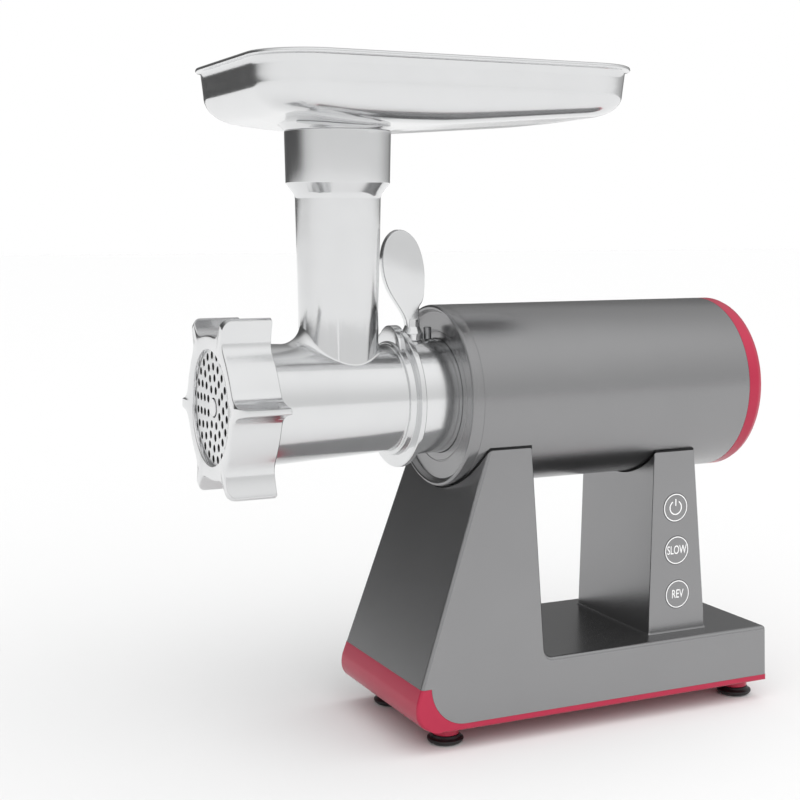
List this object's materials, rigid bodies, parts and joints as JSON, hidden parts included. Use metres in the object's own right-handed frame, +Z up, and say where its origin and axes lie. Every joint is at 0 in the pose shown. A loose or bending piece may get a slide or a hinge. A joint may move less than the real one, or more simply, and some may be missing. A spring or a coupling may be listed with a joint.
{
  "type": "electric meat grinder",
  "caption": "Table-top electric meat grinder: horizontal motor drum on a leaning pedestal and rear column, cast grinding head with lugged ring nut, feed tube and hopper tray.",
  "frame": {"origin": "on the table under the middle of the object's box, halfway between the ring nut's front face and the base's rear face", "axes": "+X from the outlet towards the rear, +Y away from the side with the push buttons, +Z up"},
  "size_m": [0.3484, 0.1504, 0.3888],
  "materials": {
    "grey_paint": "satin metallic grey",
    "red_finish": "satin crimson",
    "cast_aluminium": "polished",
    "polished_steel": "bright ground",
    "dark_steel": "satin",
    "laminated_steel": "matt laminations",
    "brass_metal": "satin",
    "black_rubber": "matt",
    "black_plastic": "fine texture",
    "white_plastic": "satin",
    "board_green": "lacquered circuit board"
  },
  "bodies": {
    "housing": {"base_shell": "grey_paint", "undertray": "red_finish", "rear_column": "grey_paint", "pedestal_seal": "black_rubber", "column_seal": "black_rubber", "drum_housing": "grey_paint", "front_bezel": "grey_paint", "rear_cap": "red_finish", "socket_collar": "polished_steel", "stop_pin": "dark_steel", "foot_post_front_left": "red_finish", "foot_post_front_right": "red_finish", "foot_post_rear_left": "red_finish", "foot_post_rear_right": "red_finish", "foot_pad_front_left": "black_rubber", "foot_pad_front_right": "black_rubber", "foot_pad_rear_left": "black_rubber", "foot_pad_rear_right": "black_rubber", "foot_screw_front_left": "dark_steel", "foot_screw_front_right": "dark_steel", "foot_screw_rear_left": "dark_steel", "foot_screw_rear_right": "dark_steel", "cap_screw_1": "dark_steel", "cap_screw_2": "dark_steel", "cap_screw_3": "dark_steel", "gearbox_front_plate": "cast_aluminium", "gearbox_case": "cast_aluminium", "idler_pin": "dark_steel", "output_bearing": "dark_steel", "motor_front_bearing": "dark_steel", "field_stator": "laminated_steel", "stator_sleeve": "black_plastic", "brush_holder_near": "black_plastic", "brush_holder_far": "black_plastic", "motor_rear_bracket": "cast_aluminium", "motor_rear_bearing": "dark_steel", "control_board": "board_green", "power_board": "board_green", "mains_inlet": "black_plastic"},
    "rotor": {"armature": "laminated_steel", "motor_shaft": "dark_steel", "motor_pinion": "dark_steel", "commutator": "brass_metal", "cooling_fan": "black_plastic"},
    "idler": {"idler_gear": "dark_steel", "idler_pinion": "dark_steel"},
    "output": {"output_shaft": "dark_steel", "output_gear": "dark_steel"},
    "head": {"head_casting": "cast_aluminium", "cutting_plate": "polished_steel", "auger_bush": "white_plastic"},
    "feed_screw": {"auger": "cast_aluminium", "knife": "polished_steel"},
    "nut": {"ring_nut": "cast_aluminium"},
    "tray": {"hopper_tray": "cast_aluminium"},
    "lever": {"lock_lever": "cast_aluminium"},
    "power_key": {"power_button": "grey_paint"},
    "slow_key": {"slow_button": "grey_paint"},
    "reverse_key": {"reverse_button": "grey_paint"}
  },
  "joints": [
    {"name": "rotor_spin", "type": "hinge", "parent": "housing", "child": "rotor", "pos_m": [0.07, 0, 0.199], "axis": [1, 0, 0], "continuous": true},
    {"name": "idler_spin", "type": "hinge", "parent": "housing", "child": "idler", "pos_m": [0, 0, 0.223], "axis": [1, 0, 0], "continuous": true},
    {"name": "output_spin", "type": "hinge", "parent": "housing", "child": "output", "pos_m": [-0.01, 0, 0.199], "axis": [1, 0, 0], "continuous": true},
    {"name": "head_pull", "type": "slide", "parent": "housing", "child": "head", "axis": [-1, 0, 0], "range_m": [0, 0.06]},
    {"name": "feed_screw_spin", "type": "hinge", "parent": "head", "child": "feed_screw", "pos_m": [-0.12, 0, 0.199], "axis": [1, 0, 0], "continuous": true},
    {"name": "nut_turn", "type": "hinge", "parent": "head", "child": "nut", "pos_m": [-0.16, 0, 0.199], "axis": [-1, 0, 0], "range_deg": [0, 540]},
    {"name": "tray_lift", "type": "slide", "parent": "head", "child": "tray", "axis": [0, 0, 1], "range_m": [0, 0.06]},
    {"name": "lever_turn", "type": "hinge", "parent": "housing", "child": "lever", "pos_m": [-0.0495, 0, 0.233], "axis": [0, 0, 1], "range_deg": [0, 120]},
    {"name": "power_press", "type": "slide", "parent": "housing", "child": "power_key", "axis": [0, 1, -0.0061], "range_m": [0, 0.0012], "stiffness_N_per_m": 300},
    {"name": "slow_press", "type": "slide", "parent": "housing", "child": "slow_key", "axis": [0, 1, -0.0061], "range_m": [0, 0.0012], "stiffness_N_per_m": 300},
    {"name": "reverse_press", "type": "slide", "parent": "housing", "child": "reverse_key", "axis": [0, 1, -0.0061], "range_m": [0, 0.0012], "stiffness_N_per_m": 300}
  ],
  "couplings": [
    {"joint": "idler_spin", "follows": "rotor_spin", "ratio": -0.33333},
    {"joint": "output_spin", "follows": "rotor_spin", "ratio": 0.11111},
    {"joint": "feed_screw_spin", "follows": "rotor_spin", "ratio": 0.11111}
  ]
}
